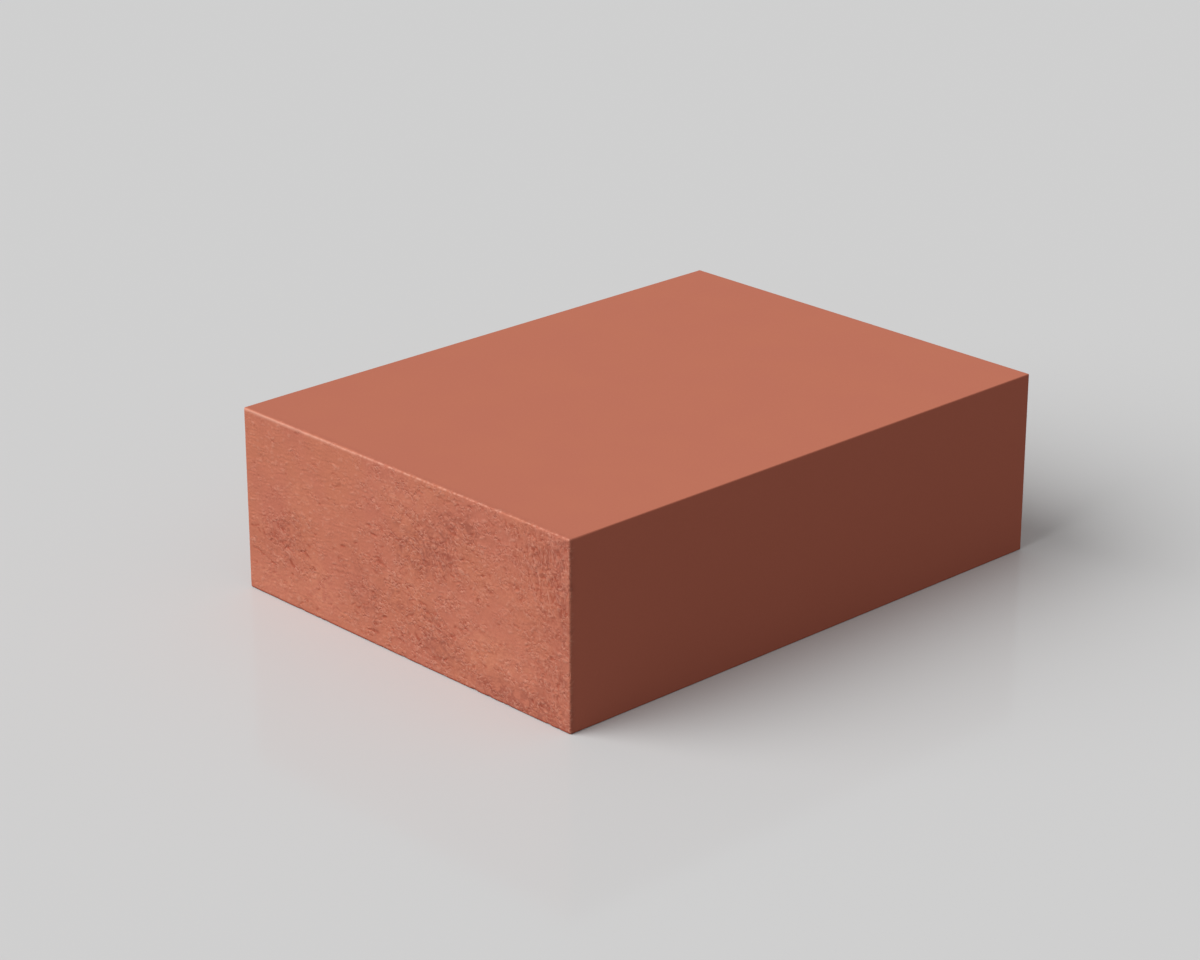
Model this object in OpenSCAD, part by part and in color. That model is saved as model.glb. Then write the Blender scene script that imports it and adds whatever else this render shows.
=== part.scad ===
// Solid fired-clay brick: one end is faced, and the beds, the sides and the other end are plain.
// The brick lies on its lower bed at Z = 0, with the faced end towards -Y.
// The origin is the middle of the lower bed.

/* [Brick] */
// Width across the faced end
face_w = 159; // [60:1:300]
// Length from the faced end to the plain end
bed_l = 215; // [60:1:400]
// Height from the lower bed to the upper bed
course_h = 65; // [30:1:215]

/* [Arrises] */
// Radius of the four arrises round the faced end
face_arris_r = 0.6; // [0.2:0.1:6]
// Radius of the eight arrises between the plain faces
plain_arris_r = 0.4; // [0.2:0.1:6]

/* [Hidden] */
// Fired red clay in plain light
clay = [0.74, 0.45, 0.365];
// Sides of a full circle
$fn = 48;

// What the arc of an arris takes off a square corner that lies at the origin
module arris_cut(r) {
  difference() {
    square(r);
    translate([r, r]) circle(r);
  }
}

// Rectangle along X about the origin, with its low-X and high-X corners rounded each by their own radius
module outline(along, across, low_r, high_r) {
  difference() {
    square([along, across], center = true);
    for (side = [0, 1]) mirror([0, side]) {
      translate([-along / 2, -across / 2]) arris_cut(low_r);
      mirror([1, 0]) translate([-along / 2, -across / 2]) arris_cut(high_r);
    }
  }
}

// The block that its plan, its side view and its end view have in common, so each view rounds four arrises
module brick() {
  color(clay) translate([0, 0, course_h / 2]) intersection() {
    rotate(90) linear_extrude(course_h, center = true)
      outline(bed_l, face_w, face_arris_r, plain_arris_r);
    rotate([90, 0, 90]) linear_extrude(face_w, center = true)
      outline(bed_l, course_h, face_arris_r, plain_arris_r);
    rotate([90, 0, 0]) linear_extrude(bed_l, center = true)
      outline(face_w, course_h, plain_arris_r, plain_arris_r);
  }
}

brick();
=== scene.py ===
"""Fired clay brick with one faced end: its surface, its finishes and a plain studio around it."""

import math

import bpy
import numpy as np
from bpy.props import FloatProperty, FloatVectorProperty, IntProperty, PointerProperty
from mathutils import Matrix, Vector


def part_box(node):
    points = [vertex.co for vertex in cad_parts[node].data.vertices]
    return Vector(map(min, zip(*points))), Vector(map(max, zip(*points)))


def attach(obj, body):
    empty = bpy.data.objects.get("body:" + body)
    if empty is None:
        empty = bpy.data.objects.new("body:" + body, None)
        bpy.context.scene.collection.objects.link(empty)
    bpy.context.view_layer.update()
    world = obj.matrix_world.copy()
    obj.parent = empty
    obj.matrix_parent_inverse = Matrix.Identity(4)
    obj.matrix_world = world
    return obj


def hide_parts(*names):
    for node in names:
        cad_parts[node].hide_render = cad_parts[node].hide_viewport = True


bl_info = {
    "name": "Faced Clay Brick",
    "version": (1, 0, 0),
    "blender": (4, 5, 0),
    "location": "View3D > Sidebar > Brick",
    "description": "Builds a fired clay brick with one faced end, and a plain studio to see it in",
    "category": "Add Mesh",
}

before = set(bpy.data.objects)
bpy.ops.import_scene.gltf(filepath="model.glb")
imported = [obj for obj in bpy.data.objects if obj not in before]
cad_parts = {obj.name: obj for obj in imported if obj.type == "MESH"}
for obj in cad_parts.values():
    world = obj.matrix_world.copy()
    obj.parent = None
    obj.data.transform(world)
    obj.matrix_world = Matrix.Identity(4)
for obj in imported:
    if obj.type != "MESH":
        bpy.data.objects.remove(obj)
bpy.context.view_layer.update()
LOW, HIGH = (np.array(corner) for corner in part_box("brick"))

MM = 0.001
# Width and height of the faced end in millimetres
WIDE, TALL = (HIGH - LOW)[[0, 2]] / MM

# Times that the grid's steps double behind the faced end, and how far past the arris each doubling comes
COARSEST = 3
DOUBLED_PAST = (2.5 * MM, 5 * MM, 10 * MM)
# Rings behind the arris: their number, and the last gap between them before the gaps are fitted to the length
RING_COUNT = 30
LAST_GAP = 14 * MM
# Depths behind the faced end between which its arris gives way to the plain one
ARRIS_CHANGE = (3 * MM, 15 * MM)

# Spots of the faced end: across and up from its lower middle, half width and half height, all in
# millimetres, and strength up to about 1, or below 0 where the clay is calmer
CRUMBLED = (
    (-59, 22, 13, 11, 1.0),
    (14, 40, 20, 12, 0.6),
    (6, 14, 30, 12, 0.6),
    (36, 54, 10, 9, 0.7),
    (66, 52, 14, 14, 0.8),
    (70, 12, 12, 14, 0.6),
    (46, 24, 16, 14, -0.4),
)
SCORCHED = (
    (-56, 25, 9, 8, 0.4),
    (-68, 18, 8, 5, 0.3),
    (-54, 15, 6, 4, 0.2),
    (11, 40, 13, 7, 0.9),
    (20, 48, 8, 9, 0.5),
    (31, 55, 8, 6, 0.6),
    (69, 55, 10, 9, 0.6),
    (77, 48, 4, 14, 0.9),
    (17, 11, 10, 6, 0.9),
    (-18, 12, 9, 6, 0.7),
    (-20, 25, 9, 6, 0.4),
    (-3, 20, 14, 4, 0.3),
    (58, 3, 24, 5, 1.2),
    (74, 16, 6, 8, 0.5),
    (70, 31, 12, 6, 0.4),
)
PALE = (
    (45, 17, 15, 7, 0.9),
    (-45, 16, 9, 5, 0.7),
    (-66, 7, 13, 6, 1.0),
    (-38, 8, 16, 7, 0.8),
    (-74, 27, 6, 5, 0.6),
    (-48, 41, 14, 6, 0.5),
    (-2, 57, 18, 5, 0.5),
    (5, 27, 16, 4, 0.6),
    (52, 38, 9, 6, 0.4),
)
# Spots where the marks stand upright
UPRIGHT = (
    (68, 50, 15, 16, 1.0),
    (22, 42, 8, 10, 0.5),
    (72, 14, 9, 12, 0.6),
    (-60, 22, 12, 10, 0.4),
)

# Creases of the faced end that stand out: across and up as for the spots, turn from the level in degrees,
# length in millimetres and strength
MARKED = (
    (-77, 23.5, 5, 3, 0.7),
    (-74.5, 24.5, 15, 4, 0.7),
    (-73.5, 22.5, -45, 3.5, 0.6),
    (-73, 15, -12, 9, 0.8),
    (-70.5, 22.5, -75, 4, 0.7),
    (-67, 21, 10, 2.5, 1.0),
    (-67, 13, -25, 6, 0.6),
    (-66, 9.5, 25, 3, 0.5),
    (-65, 24, -45, 3, 0.5),
    (-63, 28, -75, 4, 0.8),
    (-61, 26.5, -35, 4, 0.9),
    (-61, 22, 15, 4, 0.7),
    (-60, 29, 70, 3, 0.6),
    (-58.5, 20.5, 8, 6, 0.9),
    (-57.5, 25, 20, 1.5, 0.9),
    (-56.5, 15.5, -40, 7, 0.9),
    (-56, 11.5, 5, 2.5, 0.8),
    (-52, 3, 20, 2, 0.5),
    (-49, 21.5, -10, 7, 1.0),
    (-48, 20.5, 5, 3, 0.6),
    (-47.5, 25, -8, 4, 0.7),
    (-44, 3, 10, 2, 0.6),
    (-42.5, 10.5, 40, 2, 0.6),
    (-29, 30, 5, 2.5, 0.8),
    (-24.5, 10.5, 70, 3, 0.6),
    (-22, 33, 10, 2, 0.7),
    (-21.5, 11, 20, 4, 0.8),
    (-15, 29, 80, 2.5, 0.5),
    (-13.5, 5, -30, 4, 0.6),
    (-13, 39, -15, 3.5, 1.0),
    (-13, 26.5, -20, 4, 0.6),
    (-11, 31.5, -5, 5, 0.7),
    (-10, 30, -5, 5, 0.8),
    (-9, 11.5, 8, 4, 0.9),
    (-5, 4.5, 60, 3, 0.5),
    (0.5, 8, -60, 3, 0.9),
    (3, 25.5, 15, 2.5, 0.7),
    (4.5, 36.5, -40, 2, 0.6),
    (7.5, 9.5, -30, 4, 0.9),
    (9, 7.5, -75, 4, 0.7),
    (9.5, 37, 70, 2, 1.0),
    (10, 34, 0, 2.5, 0.7),
    (11, 22.5, -15, 5, 0.7),
    (12, 7, 5, 4, 0.7),
    (13, 17.5, 5, 4, 0.5),
    (18.5, 17, 0, 3, 0.6),
    (19.5, 39, -45, 3, 0.8),
    (25.5, 15.5, -15, 2.5, 0.8),
    (26, 19, -10, 2.5, 0.7),
    (29.5, 12.5, -25, 2.5, 0.7),
    (34, 50, 15, 3, 0.5),
    (44, 60, -30, 4, 0.5),
    (50.5, 62, 80, 3, 0.6),
    (57, 60, -60, 4, 1.0),
    (63.5, 61.5, -60, 4, 0.7),
    (65, 57, -50, 5, 0.8),
    (65, 46, -15, 3, 0.8),
    (66, 44.5, 20, 4, 0.6),
    (67, 53, -75, 5, 0.7),
    (67.5, 49, 10, 4, 0.7),
    (70, 53, 75, 5, 0.7),
    (70.5, 58, -80, 6, 0.7),
    (71.5, 48.5, 88, 6, 0.9),
    (72, 43.5, 75, 4, 0.9),
    (72.5, 57.5, -70, 4, 0.6),
    (77.5, 40.5, -55, 4, 0.8),
)
# Their width in millimetres, depth as a share of the other creases' and usual bend as a share of the length
MARKED_WIDTH, MARKED_DEPTH, MARKED_BEND = 0.4, 1.4, 0.15

# Random dashes of the faced end: least and most half length, width and strength, in millimetres where they
# are sizes
CREASE_HALF, CREASE_WIDTH, CREASE_STRENGTH = (0.6, 2.16), (0.26, 0.42), (0.25, 1)
SPECK_HALF, SPECK_WIDTH, SPECK_STRENGTH = (0.5, 1), (0.28, 0.4), (0.3, 1)
CHIP_HALF, CHIP_WIDTH, CHIP_STRENGTH = (0.5, 1.6), (0.4, 0.7), (0.2, 1)
# Lean of a crease in degrees, what standing upright adds to it, and its spread, which doubles where it stands
CREASE_LEAN, CREASE_STANDS, CREASE_SPREAD = 6, 70, 16
# Ways in which an upright crease stands: three in four lean to the left
STANDING = (-1, -1, -1, 1)
# How far past the border a crease's middle may lie, across and up in millimetres, its usual bend as a share
# of its half length, and the power that makes weak ones more common
CREASE_PAST, CREASE_BEND, CREASE_POWER = (0.5, 1), 0.35, 1.5
# Sides of the border that the chips lie along, and the share of the chips on each
CHIPPED = {"upper": 0.7, "right": 0.05, "lower": 0.25}

# Wave fields of the faced end: number of waves, shortest and longest wave in millimetres, lean of the crests
# from the level and its spread, in degrees
FIELDS = {
    "shift": (40, 2.5, 8, 0, 90),
    "drift": (30, 7, 24, 0, 90),
    "patches": (40, 4, 14, 0, 90),
    "swell": (30, 6, 22, 0, 90),
    "drag": (110, 0.8, 2.4, 7, 15),
    "grains": (160, 0.75, 2, 0, 90),
    "folds": (140, 1.6, 5, 0, 90),
    "stood": (60, 0.9, 2.6, -78, 20),
    "mottle": (90, 1.2, 6, 6, 60),
    "broken": (40, 1.5, 9, 90, 10),
    "fibres": (50, 2, 5, -76, 14),
    "breaks": (40, 3, 8, 8, 35),
}
# How far the drift and the shift move the spots, and the shift the marks, across and up in millimetres
SPOT_DRIFT, SPOT_SHIFT, MARK_SHIFT = (1.6, 1.2), (0.5, 0.4), (0.35, 0.2)
# Fall of the crumbly grain to the right, which makes it look level in light from the upper left
GRAIN_FALL = 0.3
# Run across the faced end, in millimetres, over which its calm left part gives way to the rougher rest
ROUGHENS = (-35, 5)
# Roughness of the calm part, what the rougher rest adds, how much it varies, and its least and most
CALM_ROUGH, MORE_ROUGH, ROUGH_VARIES, ROUGH_LIMITS = 0.3, 0.4, 0.55, (0.12, 1.4)
# Width of the calmer border in millimetres, and the share of the relief that is left at its edge
BORDER, BORDER_SHARE = 2.5, 0.3

# Thin cracks of the faced end, each a line of painted shade with a lip of painted highlight: mask that places
# them, where it starts to count, how many times they are drawn out, lean down to the right in degrees, and
# the shift of their lips of painted highlight in millimetres
CRACKS = (
    ("rough", 0.55, 1.1, 18, (-0.1, 0.0, -0.35)),
    ("upright", 0.1, 3.0, 76, (0.35, 0.0, 0.0)),
)
# Middle of a noise texture, strength of the clay's shine, and share of the painted shade tone that the long
# sides take
MIDDLE_GREY = 0.5
CLAY_SHINE = 0.08
FLANK_SHARE = 0.9


def srgb(red, green, blue):
    """Scene colour of a display colour given from 0 to 255."""
    shown = np.array([red, green, blue]) / 255
    return tuple(np.where(shown <= 0.04045, shown / 12.92, ((shown + 0.055) / 1.055) ** 2.4))


def length_setting(name, description, millimetres):
    """Length setting with its default given in millimetres."""
    return FloatProperty(name=name, description=description, default=millimetres * MM, unit="LENGTH")


def share_setting(name, description, default):
    """Setting from 0 to 1."""
    return FloatProperty(name=name, description=description, default=default, min=0, max=1)


def angle_setting(name, description, degrees):
    """Angle setting with its default given in degrees."""
    return FloatProperty(name=name, description=description, default=math.radians(degrees), subtype="ANGLE")


def colour_setting(name, description, shown):
    """Colour setting with a display colour as its default."""
    return FloatVectorProperty(
        name=name, description=description, default=srgb(*shown), subtype="COLOR", min=0, max=1
    )


class BrickSizes(bpy.types.PropertyGroup):
    """Sizes of the brick's surface."""

    arris: length_setting("Faced Arris", "Radius of the edges round the faced end", 0.6)
    plain_arris: length_setting("Plain Arris", "Radius of the other edges", 0.4)
    step_across: length_setting("Step Across", "Step of the faced end's grid along its width", 0.44)
    step_up: length_setting("Step Up", "Step of the faced end's grid along its height", 0.32)
    arc_steps: IntProperty(name="Arc Steps", description="Steps over half an arris", default=4, min=2)


class BrickRelief(bpy.types.PropertyGroup):
    """Relief of the faced end."""

    seed: IntProperty(name="Seed", description="Start of the relief's random numbers", default=7)
    fade: length_setting("Fade", "How far past the arris the relief dies out", 2.6)
    swell: length_setting("Swell", "Usual height of the broad swells", 0.04)
    streak: length_setting("Streak", "Usual height of the drag streaks", 0.022)
    crumb: length_setting("Crumb", "Usual height of the crumbly grain", 0.03)
    crease_count: IntProperty(name="Creases", description="Number of short creases", default=650, min=0)
    crease: length_setting("Crease Depth", "Depth of the deepest creases", 0.18)
    speck_count: IntProperty(name="Specks", description="Number of raised specks", default=1000, min=0)
    speck: length_setting("Speck Height", "Height of the tallest specks", 0.13)
    chip_count: IntProperty(name="Chips", description="Number of chips along the arrises", default=90, min=0)
    chip: length_setting("Chip Depth", "Depth of the deepest chips", 0.3)
    grain: length_setting("Grain", "Height of the faced end's finest grain", 0.2)


class BrickColours(bpy.types.PropertyGroup):
    """Colours of the fired clay."""

    clay: colour_setting("Clay", "Plain fired clay", (191, 114, 92))
    # Redder clay on the two long sides: a painted shade tone for the deeper red of the shaded flank
    flank_shade: colour_setting("Flank", "Plain clay of the two long sides", (191, 107, 86))
    warm: colour_setting("Warm", "Faced clay where it leans to orange", (194, 118, 93))
    rosy: colour_setting("Rosy", "Faced clay where it leans to pink", (191, 114, 93))
    scorched: colour_setting("Scorched", "Darker patches of the faced end", (159, 90, 74))
    pale: colour_setting("Pale", "Lighter patches of the faced end", (206, 131, 104))
    # Painted highlight: the bright line on the upper arris, the raised specks and the lit lips of the cracks
    painted_highlight: colour_setting("Worn", "Rubbed upper arris, specks and lips of the cracks", (217, 153, 132))
    # Painted shade: the dark bottoms of the creases, grooves and cracks, and the painted contact shadow along
    # the lower arris
    painted_shade: colour_setting("Hollow", "Bottoms of the creases, cracks and the lower arris", (150, 60, 41))


class BrickStage(bpy.types.PropertyGroup):
    """Floor, light and camera."""

    floor: share_setting("Floor", "Grey of the floor", 0.66)
    floor_bounce: share_setting("Floor Bounce", "Grey of the floor for the light that it throws back", 0.25)
    floor_gloss: share_setting("Floor Gloss", "Share of the floor's gloss", 0.05)
    floor_blur: share_setting("Floor Blur", "Roughness of the floor's gloss", 0.12)
    floor_radius: FloatProperty(
        name="Floor Radius", description="How far the floor reaches", default=6.0, unit="LENGTH"
    )
    backdrop: share_setting("Backdrop", "Grey that the camera sees past the floor", 0.62)
    sky: FloatProperty(name="Sky", description="Strength of the light from all round", default=0.35, min=0)
    key: FloatProperty(name="Key", description="Strength of the key light", default=2.98, min=0)
    key_spread: angle_setting("Key Spread", "Angle that the key light fills", 62)
    key_azimuth: angle_setting("Key Azimuth", "Where the key light comes from, counted as for the views", -27)
    key_elevation: angle_setting("Key Elevation", "Height of the key light", 40)
    camera_place: FloatVectorProperty(
        name="Camera", description="Where the camera stands", default=(0.7565, -0.7378, 0.4493), unit="LENGTH"
    )
    camera_azimuth: angle_setting("Azimuth", "Camera's turn about the upright", 46.48)
    camera_elevation: angle_setting("Elevation", "Camera's height angle", 21.53)
    lens: FloatProperty(name="Lens", description="Focal length in millimetres", default=100.0)


class BrickSettings(bpy.types.PropertyGroup):
    """All that a user would change."""

    sizes: PointerProperty(type=BrickSizes)
    relief: PointerProperty(type=BrickRelief)
    colours: PointerProperty(type=BrickColours)
    stage: PointerProperty(type=BrickStage)


def towards(azimuth, elevation):
    """Unit vector from the brick to a thing seen at that azimuth and elevation."""
    level = math.cos(elevation)
    return Vector((math.sin(azimuth) * level, -math.cos(azimuth) * level, math.sin(elevation)))


def aim(thing, azimuth, elevation):
    """Turn a lamp or a camera so that it looks from that azimuth and elevation."""
    thing.rotation_mode = "QUATERNION"
    thing.rotation_quaternion = (-towards(azimuth, elevation)).to_track_quat("-Z", "Y")


def stations(low, high, step, sizes):
    """Places along one side of the block, and how many doublings of the step each of them outlasts.

    Over each half arris they lie at equal turns, so their distance from its tangent line is the radius
    times the tangent of the turn. Between the arrises they lie at equal steps.
    """
    ease = sizes.arris * np.tan(np.linspace(0, math.pi / 4, sizes.arc_steps + 1))[1:]
    flat_low, flat_high = low + sizes.arris, high - sizes.arris
    block = 2**COARSEST
    count = block * round((flat_high - flat_low) / step / block)
    flat = np.linspace(flat_low, flat_high, count + 1)
    places = np.concatenate([flat_low - ease[::-1], flat, flat_high + ease])
    index = np.arange(count + 1)
    level = sum((index % 2**doubling == 0).astype(int) for doubling in range(1, COARSEST + 1))
    always = np.full(len(ease), COARSEST)
    return places, np.concatenate([always, level, always])


def border(grid):
    """Border of a grid, once round and anticlockwise from its first corner."""
    return np.concatenate([grid[0, :-1], grid[:-1, -1], grid[-1, :0:-1], grid[:0:-1, 0]])


def border_level(wide_level, tall_level):
    """How many doublings each point of the faced end's border outlasts: its corners outlast them all."""
    along_wide, level = np.broadcast_arrays(wide_level[None, :], tall_level[:, None])
    level = level.copy()
    level[[0, -1], :] = along_wide[[0, -1], :]
    level[[0, 0, -1, -1], [0, -1, 0, -1]] = COARSEST
    return border(level)


def depth_rows(sizes):
    """Places of the rings from the faced end to the plain end, and how many doublings come before each.

    Over the half arrises at both ends they lie at equal turns. Between them each gap is longer than the last
    by one ratio.
    """
    ease = sizes.arris * (1 - np.tan(np.linspace(0, math.pi / 4, sizes.arc_steps + 1)))
    front = LOW[1] + ease[::-1]
    back = HIGH[1] - ease
    gaps = np.geomspace(sizes.step_up, LAST_GAP, RING_COUNT)
    middle = front[-1] + np.cumsum(gaps) * (back[0] - front[-1]) / np.sum(gaps)
    places = np.concatenate([front, middle, back[1:]])
    return places, np.searchsorted(DOUBLED_PAST, places - front[-1], side="right")


def block_surface(sizes):
    """Grid over the whole block, dense on the faced end: points on the sharp-edged box, quads and pentagons.

    The faced end and the plain end are grids of width and height. Rings join their borders, and where a
    ring has half the points of the one before it, pentagons take up the points that stop there.
    """
    wide, wide_level = stations(LOW[0], HIGH[0], sizes.step_across, sizes)
    tall, tall_level = stations(LOW[2], HIGH[2], sizes.step_up, sizes)
    rows, row_level = depth_rows(sizes)
    points, quads, pentagons = [], [], []
    total = 0

    def put(x, y, z):
        nonlocal total
        x, y, z = np.broadcast_arrays(x, y, z)
        points.append(np.stack([x.ravel(), y.ravel(), z.ravel()], axis=1))
        first = total
        total += x.size
        return np.arange(first, total).reshape(x.shape)

    def sheet(grid, outward):
        corners = [grid[:-1, :-1], grid[:-1, 1:], grid[1:, 1:], grid[1:, :-1]]
        quads.append(np.stack([c.ravel() for c in corners[::outward]], axis=1))

    faced = put(wide[None, :], rows[0], tall[:, None])
    sheet(faced, 1)
    keep_wide, keep_tall = wide_level >= COARSEST, tall_level >= COARSEST
    plain = put(wide[keep_wide][None, :], rows[-1], tall[keep_tall][:, None])
    sheet(plain, -1)

    x, z = (border(grid) for grid in np.broadcast_arrays(wide[None, :], tall[:, None]))
    level = border_level(wide_level, tall_level)
    last, last_level = border(faced), level
    for row, coarse in zip(rows[1:], row_level[1:]):
        if row == rows[-1]:
            ring = border(plain)
        else:
            stay = level >= coarse
            ring = put(x[stay], row, z[stay])
        kept = last_level >= coarse
        carried = np.flatnonzero(kept)
        span = np.diff(np.append(carried, len(last)))
        after = np.roll(ring, -1)
        start, end = last[carried], np.roll(last[carried], -1)
        between = last[(carried + 1) % len(last)]
        quads.append(np.stack([start, ring, after, end], axis=1)[span == 1])
        pentagons.append(np.stack([start, ring, after, end, between], axis=1)[span == 2])
        last, last_level = ring, last_level[kept]
    return np.concatenate(points), np.concatenate(quads), np.concatenate(pentagons)


def rounded(points, sizes):
    """The sharp-edged box carried to the rounded block: each point's inner point, way out and radius.

    Each point is drawn to the nearest point of the box that is smaller by the radius all round, and set at
    one radius from it. The radius goes from the faced arris to the plain one just behind the faced end.
    """
    beyond = points[:, 1:2] - LOW[1]
    radius = np.interp(beyond, ARRIS_CHANGE, (sizes.arris, sizes.plain_arris))
    inner = np.clip(points, LOW + radius, HIGH - radius)
    out = points - inner
    return inner, out / np.linalg.norm(out, axis=1, keepdims=True), radius[:, 0]


def smooth_step(low, high, value):
    """Rise from 0 at the low value to 1 at the high one, level at both."""
    share = np.clip((value - low) / (high - low), 0, 1)
    return share * share * (3 - 2 * share)


def held(value):
    """Value kept between 0 and 1."""
    return np.clip(value, 0, 1)


def bell(value, middle, width):
    """Bell curve that is 1 at its middle."""
    return np.exp(-(((value - middle) / width) ** 2))


def crossing(field, width):
    """1 along the lines where a field crosses 0, falling to 0 beside them where it reaches the width."""
    return held(1 - np.abs(field) / width)


def faced_place(points, out, fade):
    """Place of each point on the faced end laid flat, in millimetres, and its share of the relief.

    Past the arris the flat runs on along the neighbouring face, so the relief turns the edge without a
    break, and it dies out over the fade length.
    """
    least = 0.001
    beyond = points[:, 1] - LOW[1]
    sideways = out[:, (0, 2)]
    most = np.abs(sideways).max(axis=1)
    ways = sideways / np.maximum(most, least)[:, None]
    middle = (LOW[0] + HIGH[0]) / 2
    across = points[:, 0] - middle + ways[:, 0] * beyond
    up = points[:, 2] - LOW[2] + ways[:, 1] * beyond
    return across / MM, up / MM, 1 - smooth_step(0, fade, beyond)


def wave_field(rng, across, up, name):
    """Rough field with a mean square of one: the sum of plane waves of random phase.

    The wave lengths lie evenly by ratio between the shortest and the longest. The crests lean from the level
    by the lean, give or take its spread.
    """
    count, shortest, longest, lean, spread = FIELDS[name]
    field = np.zeros_like(across)
    for _ in range(count):
        length = shortest * (longest / shortest) ** rng.random()
        angle = math.radians(lean) + math.radians(spread) * rng.uniform(-1, 1)
        along = math.cos(angle) * up - math.sin(angle) * across
        field += np.cos(2 * math.pi * (along / length + rng.random()))
    return field * math.sqrt(2 / count)


def moved(places, waves, most):
    """Places across and up, moved by two wave fields as far as is given for each."""
    return tuple(place + far * wave for place, wave, far in zip(places, waves, most))


def soft_spots(across, up, spots):
    """Sum of soft spots: each is a bell about its place, by its own half width and half height."""
    total = np.zeros_like(across)
    for x, z, wide, tall, strength in spots:
        total += strength * np.exp(-(((across - x) / wide) ** 2) - ((up - z) / tall) ** 2)
    return total


def press(field, across, up, place, angle, half, width, bend, strength):
    """Press one bent dash into a field, where the deeper value stays: a bell across it, a parabola along it.

    The dash reaches half its length to both sides of its place, and its ends bend aside by the given length.
    """
    reach = half + width * 2
    right, above = across - place[0], up - place[1]
    near = np.flatnonzero((np.abs(right) < reach) & (np.abs(above) < reach))
    right, above = right[near], above[near]
    along = (right * math.cos(angle) + above * math.sin(angle)) / half
    over = above * math.cos(angle) - right * math.sin(angle)
    shape = bell(over, bend * along**2, width) * held(1 - along**2)
    field[near] = np.maximum(field[near], strength * shape)


def creases(rng, across, up, rough, count):
    """Depth of the short creases as a share of the deepest: bent dashes, closer together on rough clay.

    The marked ones come first. The others lie nearly level, and stand up in the upright spots. A place is
    kept by chance, which is the square of its roughness.
    """
    depth = np.zeros_like(across)
    for x, z, turn, length, strength in MARKED:
        bend = rng.normal(0, MARKED_BEND) * length
        size = length / 2, MARKED_WIDTH, bend
        press(depth, across, up, (x, z), math.radians(turn), *size, MARKED_DEPTH * strength)
    beside, above = CREASE_PAST
    made = 0
    while made < count:
        x, z = rng.uniform(-WIDE / 2 - beside, WIDE / 2 + beside), rng.uniform(-above, TALL + above)
        upright = min(1, soft_spots(np.array([x]), np.array([z]), UPRIGHT)[0])
        lean = CREASE_LEAN + CREASE_STANDS * upright * rng.choice(STANDING)
        angle = math.radians(rng.normal(lean, CREASE_SPREAD * (1 + upright)))
        half = CREASE_HALF[0] * (CREASE_HALF[1] / CREASE_HALF[0]) ** rng.random()
        width = rng.uniform(*CREASE_WIDTH)
        bend = rng.normal(0, CREASE_BEND) * half
        strength = rng.uniform(*CREASE_STRENGTH) ** CREASE_POWER
        chance = rng.random()
        nearest = np.argmin((across - x) ** 2 + (up - z) ** 2)
        if chance <= rough[nearest] ** 2:
            press(depth, across, up, (x, z), angle, half, width, bend, strength)
            made += 1
    return depth


def specks(rng, across, up, count):
    """Height of the raised specks as a share of the tallest: short dashes, nearly level, all over the end."""
    # Inset from the sides in millimetres, and lean from the level and its spread in radians
    inset, lean, spread = 0.5, 0.1, 0.3
    height = np.zeros_like(across)
    for _ in range(count):
        place = rng.uniform(inset - WIDE / 2, WIDE / 2 - inset), rng.uniform(0, TALL)
        half, width = rng.uniform(*SPECK_HALF), rng.uniform(*SPECK_WIDTH)
        angle = rng.normal(lean, spread)
        press(height, across, up, place, angle, half, width, 0, rng.uniform(*SPECK_STRENGTH))
    return height


def chips(rng, across, up, count):
    """Depth of the chips along the arrises as a share of the deepest: dashes that lie along the end's border.

    Most lie along the upper arris, and the others along the lower and the right one. On the level arrises
    they lie closer together to the right.
    """
    crowding = 0.7
    depth = np.zeros_like(across)
    for _ in range(count):
        along = rng.random()
        side = rng.choice(tuple(CHIPPED), p=tuple(CHIPPED.values()))
        if side == "right":
            place, angle = (WIDE / 2, TALL * along), math.pi / 2
        else:
            place, angle = (WIDE * (along**crowding - 0.5), TALL * (side == "upper")), 0
        half, width = rng.uniform(*CHIP_HALF), rng.uniform(*CHIP_WIDTH)
        press(depth, across, up, place, angle, half, width, 0, rng.uniform(*CHIP_STRENGTH))
    return depth


def painted_arris_highlight_and_shadow(across, up, broken):
    """Strength of the painted highlight along the upper arris, and of the painted contact shadow along the
    lower arris.

    Each is a bell across its arris. The painted highlight is broad and whole at the left, and to the right it
    climbs onto the arris, narrows and breaks up.
    """
    # Places across, in millimetres: where the painted highlight starts to change, is narrowest and breaks up
    # most
    left, narrowest, most_broken = -70, 75, 60
    # Its place below the upper edge, its climb, its width and what it loses of it, in millimetres
    below, climb, width, narrowing = 0.45, 0.55, 0.55, 0.22
    # Share that it loses to the breaks, how uneven they are, and the least that is left
    lost, uneven, least = 0.72, 0.9, 0.1
    # Height and width of the painted contact shadow in millimetres
    dark_up, dark_width = 0.2, 0.5
    rightward = smooth_step(left, narrowest, across)
    highlight_band = bell(up, TALL - below + climb * rightward, width - narrowing * rightward)
    breaking = lost * smooth_step(left, most_broken, across)
    whole = np.clip(1 - breaking * (1 + uneven * broken), least, 1)
    return highlight_band * whole, bell(up, dark_up, dark_width)


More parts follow.
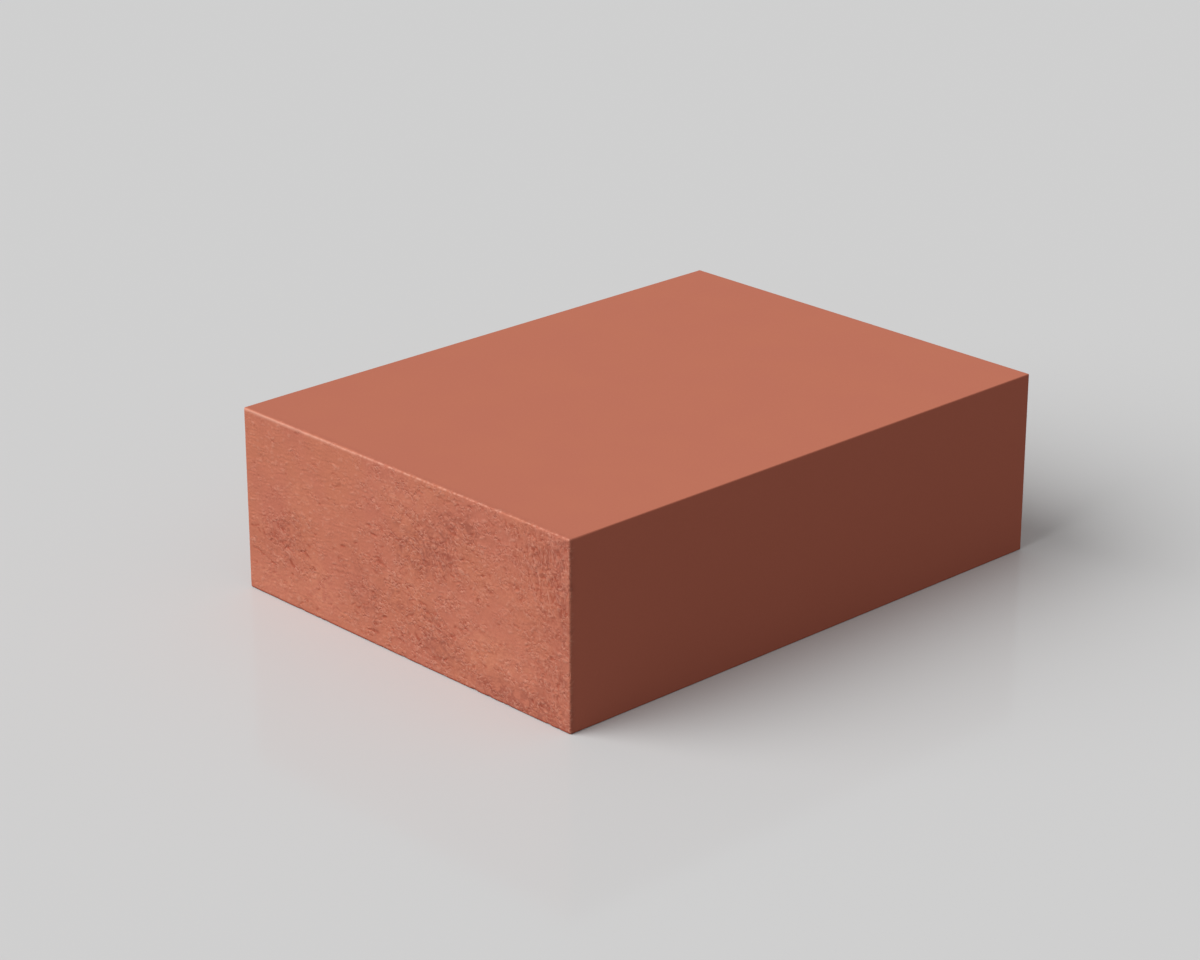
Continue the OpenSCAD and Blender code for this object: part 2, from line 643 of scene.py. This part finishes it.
def faced_relief(points, out, relief):
    """Height of the faced end's relief at each point, and the masks that its finish reads.

    The height is the sum of broad swells, drag streaks, crumbly grain, raised specks, creases and chips.
    The crumbly grain is short waves with the folds of longer ones, each fold being the size of a wave
    without its sign. Grooves join the creases where the marks stand upright: they run where upright waves
    cross 0, with breaks. Short waves shift the places of the marks and the spots, which roughens their
    outlines. The relief is calmer along the border, and nothing stands out below the lower bed.
    """
    rng = np.random.default_rng(relief.seed)
    across, up, share = faced_place(points, out, relief.fade)
    near = share > 0
    across, up, share = across[near], up[near], share[near]
    flat, way = (across, up), out[near]
    shift = [wave_field(rng, *flat, "shift") for _ in flat]
    drift = [wave_field(rng, *flat, "drift") for _ in flat]
    spot = moved(moved(flat, drift, SPOT_DRIFT), shift, SPOT_SHIFT)
    bent = moved(flat, shift, MARK_SHIFT)
    falling = bent[0], bent[1] + GRAIN_FALL * bent[0]

    patches = wave_field(rng, *flat, "patches")
    rougher = smooth_step(*ROUGHENS, across)
    rough = CALM_ROUGH + MORE_ROUGH * rougher + soft_spots(*spot, CRUMBLED)
    rough = np.clip(rough * (1 + ROUGH_VARIES * patches), *ROUGH_LIMITS)
    upright = held(soft_spots(*spot, UPRIGHT))

    swell = relief.swell * wave_field(rng, *flat, "swell")
    drag = wave_field(rng, *bent, "drag")
    streak = relief.streak * (1 + 0.3 * patches) * (1 - 0.4 * rougher - 0.4 * upright) * drag
    grains = wave_field(rng, *falling, "grains")
    folds = wave_field(rng, *falling, "folds")
    mean_fold = 0.8
    torn = 0.7 * grains + 1.2 * (np.abs(folds) - mean_fold)
    crumb = relief.crumb * rough * (torn + 2 * upright * wave_field(rng, *bent, "stood"))
    crease = creases(rng, *bent, rough, relief.crease_count)
    speck = specks(rng, *bent, relief.speck_count)
    chip = chips(rng, *bent, relief.chip_count)
    mottle = wave_field(rng, *spot, "mottle")
    broken = wave_field(rng, *flat, "broken")
    groove_width, crack_width = 0.5, 0.45
    groove = upright * crossing(wave_field(rng, *bent, "fibres"), groove_width)
    groove = groove * held(0.5 + 0.8 * wave_field(rng, *bent, "breaks"))
    crease = np.maximum(crease, groove)

    inset = np.minimum(WIDE / 2 - np.abs(across), TALL / 2 - np.abs(up - TALL / 2))
    calm = BORDER_SHARE + (1 - BORDER_SHARE) * smooth_step(0, BORDER, inset)
    height = calm * (swell + streak + crumb + relief.speck * speck - relief.crease * crease)
    height = height - relief.chip * chip
    mostly_down = -0.7
    height = np.where(way[:, 2] < mostly_down, np.minimum(height, 0), height)

    stands_out = 0.8
    sunk, raised = held(-torn - stands_out), held(torn - stands_out)
    cracked = crossing(folds, crack_width) * held(0.2 + 0.8 * grains)
    head_on = 1 - np.abs(way[:, 0])
    # Painted highlight on the upper arris, and painted contact shadow on the lower one
    painted_highlight, painted_contact_shadow = painted_arris_highlight_and_shadow(across, up, broken)
    masks = {
        "faced": 1,
        "rough": held(0.4 + 0.6 * rough) * (1 - 0.25 * upright),
        # Painted shade in the creases, grooves, cracks and low grain
        "painted_shade": held(calm * (crease + rough * (0.35 * sunk + 0.3 * cracked) + 0.5 * groove)),
        "scorch": held(soft_spots(*spot, SCORCHED) * (0.7 + 0.65 * mottle)),
        "pale": held(soft_spots(*spot, PALE) * (0.7 + 0.5 * mottle)),
        # Painted highlight on the raised specks and the raised grain
        "painted_speck_highlight": held(speck + 0.7 * rough * raised),
        # Painted highlight along the upper arris
        "painted_highlight": head_on * painted_highlight,
        # Painted contact shadow along the lower arris
        "painted_contact_shadow": head_on * painted_contact_shadow,
        "upright": upright,
    }
    whole = np.zeros(len(points))
    whole[near] = share * height
    # Share of the long sides, where the painted shade tone of the flank goes
    spread = {"flank_shade": out[:, 0] ** 2}
    for name, mask in masks.items():
        spread[name] = np.zeros(len(points))
        spread[name][near] = share * mask
    return whole, spread


def mesh_from(name, points, quads, pentagons):
    """Mesh of quads and pentagons, smooth all over."""
    mesh = bpy.data.meshes.new(name)
    mesh.vertices.add(len(points))
    mesh.vertices.foreach_set("co", points.astype(np.float32).ravel())
    corners = np.concatenate([quads.ravel(), pentagons.ravel()])
    mesh.loops.add(len(corners))
    mesh.loops.foreach_set("vertex_index", corners.astype(np.int32))
    starts = np.concatenate([np.arange(len(quads)) * 4, quads.size + np.arange(len(pentagons)) * 5])
    mesh.polygons.add(len(starts))
    mesh.polygons.foreach_set("loop_start", starts.astype(np.int32))
    mesh.update(calc_edges=True)
    mesh.shade_smooth()
    if mesh.validate():
        raise RuntimeError(f"{name} has faces that Blender had to mend")
    return mesh


def lay_out(mesh, points):
    """UV map for a baked picture: each side of the block is a rectangle, with the faced end on top.

    The faced end is as wide as the map. The other sides share one smaller scale below it: the two beds and
    the two flanks stand side by side, and the plain end lies above them.
    """
    gap = 0.004
    touching = 0.001 * MM
    wide, deep, tall = HIGH - LOW
    faced_scale = (1 - 2 * gap) / wide
    room = 1 - faced_scale * tall - 2 * gap
    scale = min((room - 2 * gap) / (deep + tall), (1 - 5 * gap) / (2 * wide + 2 * tall))
    bed, flank_shade = wide * scale + gap, tall * scale + gap
    above = deep * scale + 2 * gap
    x, y, z = range(3)
    sides = (
        ((y, 0), (x, z), (gap, room + gap), faced_scale),
        ((y, 1), (x, z), (gap, above), scale),
        ((z, 0), (x, y), (gap, gap), scale),
        ((z, 1), (x, y), (gap + bed, gap), scale),
        ((x, 0), (z, y), (gap + 2 * bed, gap), scale),
        ((x, 1), (z, y), (gap + 2 * bed + flank_shade, gap), scale),
    )
    corners = np.empty(len(mesh.loops), np.int32)
    mesh.loops.foreach_get("vertex_index", corners)
    counts = np.empty(len(mesh.polygons), np.int32)
    mesh.polygons.foreach_get("loop_total", counts)
    starts = np.concatenate([[0], np.cumsum(counts)[:-1]])
    middles = np.add.reduceat(points[corners], starts) / counts[:, None]
    places = np.zeros((len(corners), 2))
    for (axis, end), axes, origin, size in sides:
        face = np.abs(middles[:, axis] - (LOW, HIGH)[end][axis]) < touching
        chosen = np.repeat(face, counts)
        places[chosen] = np.array(origin) + size * (points[corners[chosen]] - LOW)[:, axes]
    mesh.uv_layers.new(name="OFBake").data.foreach_set("uv", places.astype(np.float32).ravel())


def add(tree, kind, inputs=None, **settings):
    """New node with its settings made, and its inputs set to values or linked to other nodes' outputs."""
    node = tree.nodes.new(kind)
    for name, value in settings.items():
        setattr(node, name, value)
    for name, value in (inputs or {}).items():
        if isinstance(value, bpy.types.NodeSocket):
            tree.links.new(value, node.inputs[name])
        else:
            node.inputs[name].default_value = value
    return node


def mixed(tree, share, first, second, blend="MIX"):
    """Colour between two others by a share, each a socket or a plain colour."""
    factor, a, b, result = 0, 6, 7, 2
    node = tree.nodes.new("ShaderNodeMix")
    node.data_type = "RGBA"
    node.blend_type = blend
    for place, value in ((factor, share), (a, first), (b, second)):
        if isinstance(value, bpy.types.NodeSocket):
            tree.links.new(value, node.inputs[place])
        elif place == factor:
            node.inputs[place].default_value = value
        else:
            node.inputs[place].default_value = (*value, 1)
    return node.outputs[result]


def ranged(tree, value, low, high, to_low, to_high):
    """Value carried from one range to another, and held at its ends."""
    limits = {"From Min": low, "From Max": high, "To Min": to_low, "To Max": to_high}
    return add(tree, "ShaderNodeMapRange", {"Value": value, **limits}).outputs["Result"]


def worked(tree, operation, *values):
    """Result of one math node, whose values are numbers or other nodes' outputs."""
    return add(tree, "ShaderNodeMath", dict(enumerate(values)), operation=operation).outputs["Value"]


def noise(tree, where, scale, detail, roughness):
    """Grey of a noise texture, which lies about its middle grey."""
    inputs = {"Vector": where, "Scale": scale, "Detail": detail, "Roughness": roughness}
    return add(tree, "ShaderNodeTexNoise", inputs).outputs["Fac"]


def drawn_out(tree, where, stretch, lean, shift=(0.0, 0.0, 0.0)):
    """Coordinate in which a texture is shifted, and drawn out along a line that leans down to the right."""
    drawn = {"Vector": where, "Location": shift, "Rotation": (0.0, lean, 0.0), "Scale": (stretch, 1.0, 1.0)}
    return add(tree, "ShaderNodeMapping", drawn, vector_type="TEXTURE").outputs["Vector"]


def new_group(name, inputs, outputs):
    """Shader group with a coordinate and named values as its sockets: its tree, inputs and outputs."""
    tree = bpy.data.node_groups.new(name, "ShaderNodeTree")
    tree.interface.new_socket("Coordinate", in_out="INPUT", socket_type="NodeSocketVector")
    for way, sockets in (("INPUT", inputs), ("OUTPUT", outputs)):
        for socket in sockets:
            tree.interface.new_socket(socket, in_out=way, socket_type="NodeSocketFloat")
    return tree, tree.nodes.new("NodeGroupInput").outputs, tree.nodes.new("NodeGroupOutput").inputs


def grain_group():
    """Shader group for fired clay: the tone and height of its fine grain, a slow drift and its roughness.

    The grain is a noise, drawn out a little. Its tone is 1 plus the contrast times its distance from the
    middle grey. The drift and the roughness follow one slow noise.
    """
    tree, given, put = new_group(
        "clay_grain", ("Fineness", "Contrast"), ("Tone", "Height", "Drift", "Roughness")
    )
    stretch, lean, drift_scale = 1.2, math.radians(18), 45.0
    where = given["Coordinate"]
    fine = noise(tree, drawn_out(tree, where, stretch, lean), given["Fineness"], 3.0, 0.6)
    slow = noise(tree, where, drift_scale, 2.0, 0.5)
    off = worked(tree, "SUBTRACT", fine, MIDDLE_GREY)
    results = {
        "Tone": worked(tree, "MULTIPLY_ADD", off, given["Contrast"], 1.0),
        "Height": fine,
        "Drift": ranged(tree, slow, 0.35, 0.65, 0.0, 1.0),
        "Roughness": ranged(tree, slow, 0.3, 0.7, 0.8, 0.9),
    }
    for name, result in results.items():
        tree.links.new(result, put[name])
    return tree


def crack_group():
    """Shader group for torn clay: thin broken lines, from 0 off them to 1 along their middles.

    A line runs where a noise crosses its middle grey, and a second noise breaks it up.
    """
    tree, given, put = new_group("clay_cracks", (), ("Cracks",))
    line_scale, gap_scale, line_width = 420.0, 650.0, 0.06
    where = given["Coordinate"]
    lines = noise(tree, where, line_scale, 2.0, 0.6)
    gaps = noise(tree, where, gap_scale, 1.0, 0.5)
    away = worked(tree, "ABSOLUTE", worked(tree, "SUBTRACT", lines, MIDDLE_GREY))
    thin = ranged(tree, away, 0.0, line_width, 1.0, 0.0)
    broken = ranged(tree, gaps, 0.45, 0.6, 0.0, 1.0)
    tree.links.new(worked(tree, "MULTIPLY", thin, broken), put["Cracks"])
    return tree


def new_clay(name):
    """Material of matt clay, still without its colour and grain."""
    material = bpy.data.materials.new(name)
    material.use_nodes = True
    material.node_tree.nodes["Principled BSDF"].inputs["Specular IOR Level"].default_value = CLAY_SHINE
    return material


def grained(tree, grain, fineness, contrast):
    """Outputs of the shared grain, placed with its own fineness and contrast."""
    where = add(tree, "ShaderNodeTexCoord").outputs["Object"]
    inputs = {"Coordinate": where, "Fineness": fineness, "Contrast": contrast}
    return add(tree, "ShaderNodeGroup", inputs, node_tree=grain).outputs


def finish(tree, shade, tone, roughness, height, bump):
    """Link a clay's colour, toned by its grain, and its roughness and bump to its shader."""
    shader = tree.nodes["Principled BSDF"]
    tree.links.new(mixed(tree, 1.0, shade, tone, "MULTIPLY"), shader.inputs["Base Color"])
    tree.links.new(roughness, shader.inputs["Roughness"])
    relief = add(tree, "ShaderNodeBump", {"Height": height, "Strength": 1.0, "Distance": bump})
    tree.links.new(relief.outputs["Normal"], shader.inputs["Normal"])


def masked(tree, name, strength, start=0.0):
    """One of the surface's masks, from 0 at the start to the given strength where it is full."""
    found = add(tree, "ShaderNodeAttribute", attribute_name=name)
    return ranged(tree, found.outputs["Fac"], start, 1.0, 0.0, strength)


def with_flank_shade(tree, shade, colours):
    """Clay's colour, which gives way on the two long sides to the redder painted shade tone of the flank."""
    return mixed(tree, masked(tree, "flank_shade", FLANK_SHARE), shade, colours.flank_shade)


def plain_clay(grain, colours):
    """Clay of the plain faces: one colour, a little warmer as the drift goes, with a faint fine grain.

    The two long sides are painted a little redder: a painted shade tone, which stands in for the deeper red
    that the shaded flank shows.
    """
    fineness, contrast, warmest, bump = 1800.0, 0.09, 0.4, 0.01 * MM
    material = new_clay("plain_clay")
    tree = material.node_tree
    out = grained(tree, grain, fineness, contrast)
    share = ranged(tree, out["Drift"], 0.0, 1.0, 0.0, warmest)
    shade = with_flank_shade(tree, mixed(tree, share, colours.clay, colours.warm), colours)
    finish(tree, shade, out["Tone"], out["Roughness"], out["Height"], bump)
    return material


def faced_clay(grain, cracks, colours, bump):
    """Clay of the faced end: a drift from warm to rosy, with patches by its own masks, painted highlights on
    the specks and the upper arris, and painted shade in the creases and along the lower arris.

    Its grain is as strong as its surface is rough. Thin cracks of painted shade run over the rough parts and,
    drawn out and upright, over the parts where the marks stand. Each has a lip of painted highlight, which is
    the same line shifted.
    """
    fineness, contrast, past_arris = 1400.0, 0.36, 0.6
    # Strengths of the cracks' lips of painted highlight and lines of painted shade, and the cracks' height in
    # the bump
    highlight_lip_strength, crack_shade_strength, crack_height = 0.7, 0.55, -0.3
    no_shift = (0.0, 0.0, 0.0)
    material = new_clay("faced_clay")
    tree = material.node_tree

    out = grained(tree, grain, fineness, masked(tree, "rough", contrast))
    faced = mixed(tree, out["Drift"], colours.rosy, colours.warm)
    plain = with_flank_shade(tree, colours.clay, colours)
    shade = mixed(tree, masked(tree, "faced", 1.0, past_arris), plain, faced)
    # Scorched and pale patches are the clay's own colour; the specks and upper arris get painted highlight,
    # the creases and lower arris painted shade
    for name, strength, patch in (
        ("scorch", 0.78, colours.scorched),
        ("pale", 0.6, colours.pale),
        ("painted_speck_highlight", 0.45, colours.painted_highlight),
        ("painted_shade", 0.6, colours.painted_shade),
        ("painted_highlight", 1.0, colours.painted_highlight),
        ("painted_contact_shadow", 0.9, colours.painted_shade),
    ):
        shade = mixed(tree, masked(tree, name, strength), shade, patch)

    where = add(tree, "ShaderNodeTexCoord").outputs["Object"]
    height = worked(tree, "MULTIPLY", out["Height"], masked(tree, "rough", 1.0))
    # Each crack is a line of painted shade, with a lip of painted highlight shifted beside it
    for name, start, stretch, lean, highlight_lip in CRACKS:
        share = masked(tree, name, 1.0, start)
        highlight_lip_shift = tuple(MM * far for far in highlight_lip)
        for shift, strength, paint in (
            (highlight_lip_shift, highlight_lip_strength, colours.painted_highlight),
            (no_shift, crack_shade_strength, colours.painted_shade),
        ):
            place = drawn_out(tree, where, stretch, math.radians(lean), shift)
            lines = add(tree, "ShaderNodeGroup", {"Coordinate": place}, node_tree=cracks).outputs["Cracks"]
            torn = worked(tree, "MULTIPLY", lines, share)
            shade = mixed(tree, ranged(tree, torn, 0.0, 1.0, 0.0, strength), shade, paint)
        height = worked(tree, "MULTIPLY_ADD", torn, crack_height, height)
    finish(tree, shade, out["Tone"], out["Roughness"], height, bump)
    return material


class BRICK_OT_faced_block(bpy.types.Operator):
    """Build the brick's surface with its faced end and its finishes"""

    bl_idname = "brick.faced_block"
    bl_label = "Faced Block"

    def execute(self, context):
        settings = context.scene.brick
        points, quads, pentagons = block_surface(settings.sizes)
        inner, out, radius = rounded(points, settings.sizes)
        height, masks = faced_relief(points, out, settings.relief)
        places = inner + out * (radius + height)[:, None]
        mesh = mesh_from("faced_brick", places, quads, pentagons)
        for name, mask in masks.items():
            attribute = mesh.attributes.new(name, "FLOAT", "POINT")
            attribute.data.foreach_set("value", mask.astype(np.float32))
        lay_out(mesh, points)

        grain = grain_group()
        colours = settings.colours
        mesh.materials.append(plain_clay(grain, colours))
        mesh.materials.append(faced_clay(grain, crack_group(), colours, settings.relief.grain))
        corner = np.concatenate([quads[:, 0], pentagons[:, 0]])
        mesh.polygons.foreach_set("material_index", (masks["faced"][corner] > 0).astype(np.int32))

        piece = bpy.data.objects.new("faced_brick", mesh)
        context.scene.collection.objects.link(piece)
        piece.modifiers.new("even_flats", "WEIGHTED_NORMAL")
        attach(piece, "root")
        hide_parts("brick")
        print("faced_brick", len(places), "points", 2 * len(quads) + 3 * len(pentagons), "triangles")
        return {"FINISHED"}


def soft_sun(scene, name, strength, spread, azimuth, elevation):
    """Even light from one side of the sky, which fills the given angle."""
    lamp = bpy.data.objects.new(name, bpy.data.lights.new(name, "SUN"))
    lamp.data.energy = strength
    lamp.data.angle = spread
    aim(lamp, azimuth, elevation)
    scene.collection.objects.link(lamp)


def camera_sees(tree):
    """1 for rays that the camera sees, straight, mirrored or through clear things, and 0 for light."""
    path = add(tree, "ShaderNodeLightPath").outputs
    seen = path["Is Camera Ray"]
    for ray in ("Is Glossy Ray", "Is Transmission Ray"):
        seen = worked(tree, "MAXIMUM", seen, path[ray])
    return seen


def studio_sky(stage):
    """World that lights the brick evenly from all round, and shows a pale backdrop past the floor."""
    world = bpy.data.worlds.new("studio_sky")
    world.use_nodes = True
    tree = world.node_tree
    background = tree.nodes["Background"]
    background.inputs["Color"].default_value = (1, 1, 1, 1)
    strength = ranged(tree, camera_sees(tree), 0.0, 1.0, stage.sky, stage.backdrop)
    tree.links.new(strength, background.inputs["Strength"])
    return world


def floor_paint(stage):
    """Pale matt floor with a little even gloss, which shows the brick faintly and throws back less light."""
    material = bpy.data.materials.new("floor_paint")
    material.use_nodes = True
    tree = material.node_tree
    tree.nodes.remove(tree.nodes["Principled BSDF"])
    grey = ranged(tree, camera_sees(tree), 0.0, 1.0, stage.floor_bounce, stage.floor)
    matt = add(tree, "ShaderNodeBsdfDiffuse", {"Color": grey}).outputs["BSDF"]
    gloss = add(tree, "ShaderNodeBsdfAnisotropic", {"Roughness": stage.floor_blur}).outputs["BSDF"]
    both = add(tree, "ShaderNodeMixShader", {0: stage.floor_gloss, 1: matt, 2: gloss})
    tree.links.new(both.outputs["Shader"], tree.nodes["Material Output"].inputs["Surface"])
    return material


def floor_disc(radius):
    """Round floor: one flat face whose corners lie at equal turns on a circle."""
    corners = 96
    angle = np.linspace(0, 2 * math.pi, corners, endpoint=False)
    rim = np.stack([radius * np.cos(angle), radius * np.sin(angle), np.zeros_like(angle)], axis=1)
    mesh = bpy.data.meshes.new("studio_floor")
    mesh.from_pydata(rim.tolist(), [], [list(range(corners))])
    return mesh


def photo_camera(stage):
    """Camera that sees the brick from the photo's side."""
    camera = bpy.data.objects.new("camera", bpy.data.cameras.new("camera"))
    camera.data.lens = stage.lens
    camera.data.clip_start = 10 * MM
    camera.location = stage.camera_place
    aim(camera, stage.camera_azimuth, stage.camera_elevation)
    return camera


class BRICK_OT_studio_stage(bpy.types.Operator):
    """Lay the floor, light the brick and set the camera"""

    bl_idname = "brick.studio_stage"
    bl_label = "Studio Stage"

    def execute(self, context):
        scene = context.scene
        stage = scene.brick.stage
        scene.view_settings.view_transform = "Standard"

        floor = bpy.data.objects.new("studio_floor", floor_disc(stage.floor_radius))
        floor.data.materials.append(floor_paint(stage))
        scene.collection.objects.link(floor)

        soft_sun(scene, "key_light", stage.key, stage.key_spread, stage.key_azimuth, stage.key_elevation)
        scene.world = studio_sky(stage)
        scene.camera = photo_camera(stage)
        scene.collection.objects.link(scene.camera)
        return {"FINISHED"}


class BRICK_PT_panel(bpy.types.Panel):
    """Brick settings and builders"""

    bl_idname = "BRICK_PT_panel"
    bl_label = "Faced Clay Brick"
    bl_space_type = "VIEW_3D"
    bl_region_type = "UI"
    bl_category = "Brick"

    def draw(self, context):
        settings = context.scene.brick
        for title in ("sizes", "relief", "colours", "stage"):
            group = getattr(settings, title)
            box = self.layout.box()
            box.label(text=title.title())
            for name in group.bl_rna.properties.keys():
                if name not in ("rna_type", "name"):
                    box.prop(group, name)
        self.layout.operator(BRICK_OT_faced_block.bl_idname)
        self.layout.operator(BRICK_OT_studio_stage.bl_idname)


CLASSES = (
    BrickSizes,
    BrickRelief,
    BrickColours,
    BrickStage,
    BrickSettings,
    BRICK_OT_faced_block,
    BRICK_OT_studio_stage,
    BRICK_PT_panel,
)


def register():
    """Register the classes, and give each scene its settings of the brick."""
    for cls in CLASSES:
        bpy.utils.register_class(cls)
    bpy.types.Scene.brick = PointerProperty(type=BrickSettings)


def unregister():
    """Take the settings and the classes away again."""
    del bpy.types.Scene.brick
    for cls in reversed(CLASSES):
        bpy.utils.unregister_class(cls)


def main():
    """Build the brick and its stage."""
    register()
    bpy.ops.brick.faced_block()
    bpy.ops.brick.studio_stage()


if __name__ == "__main__":
    main()
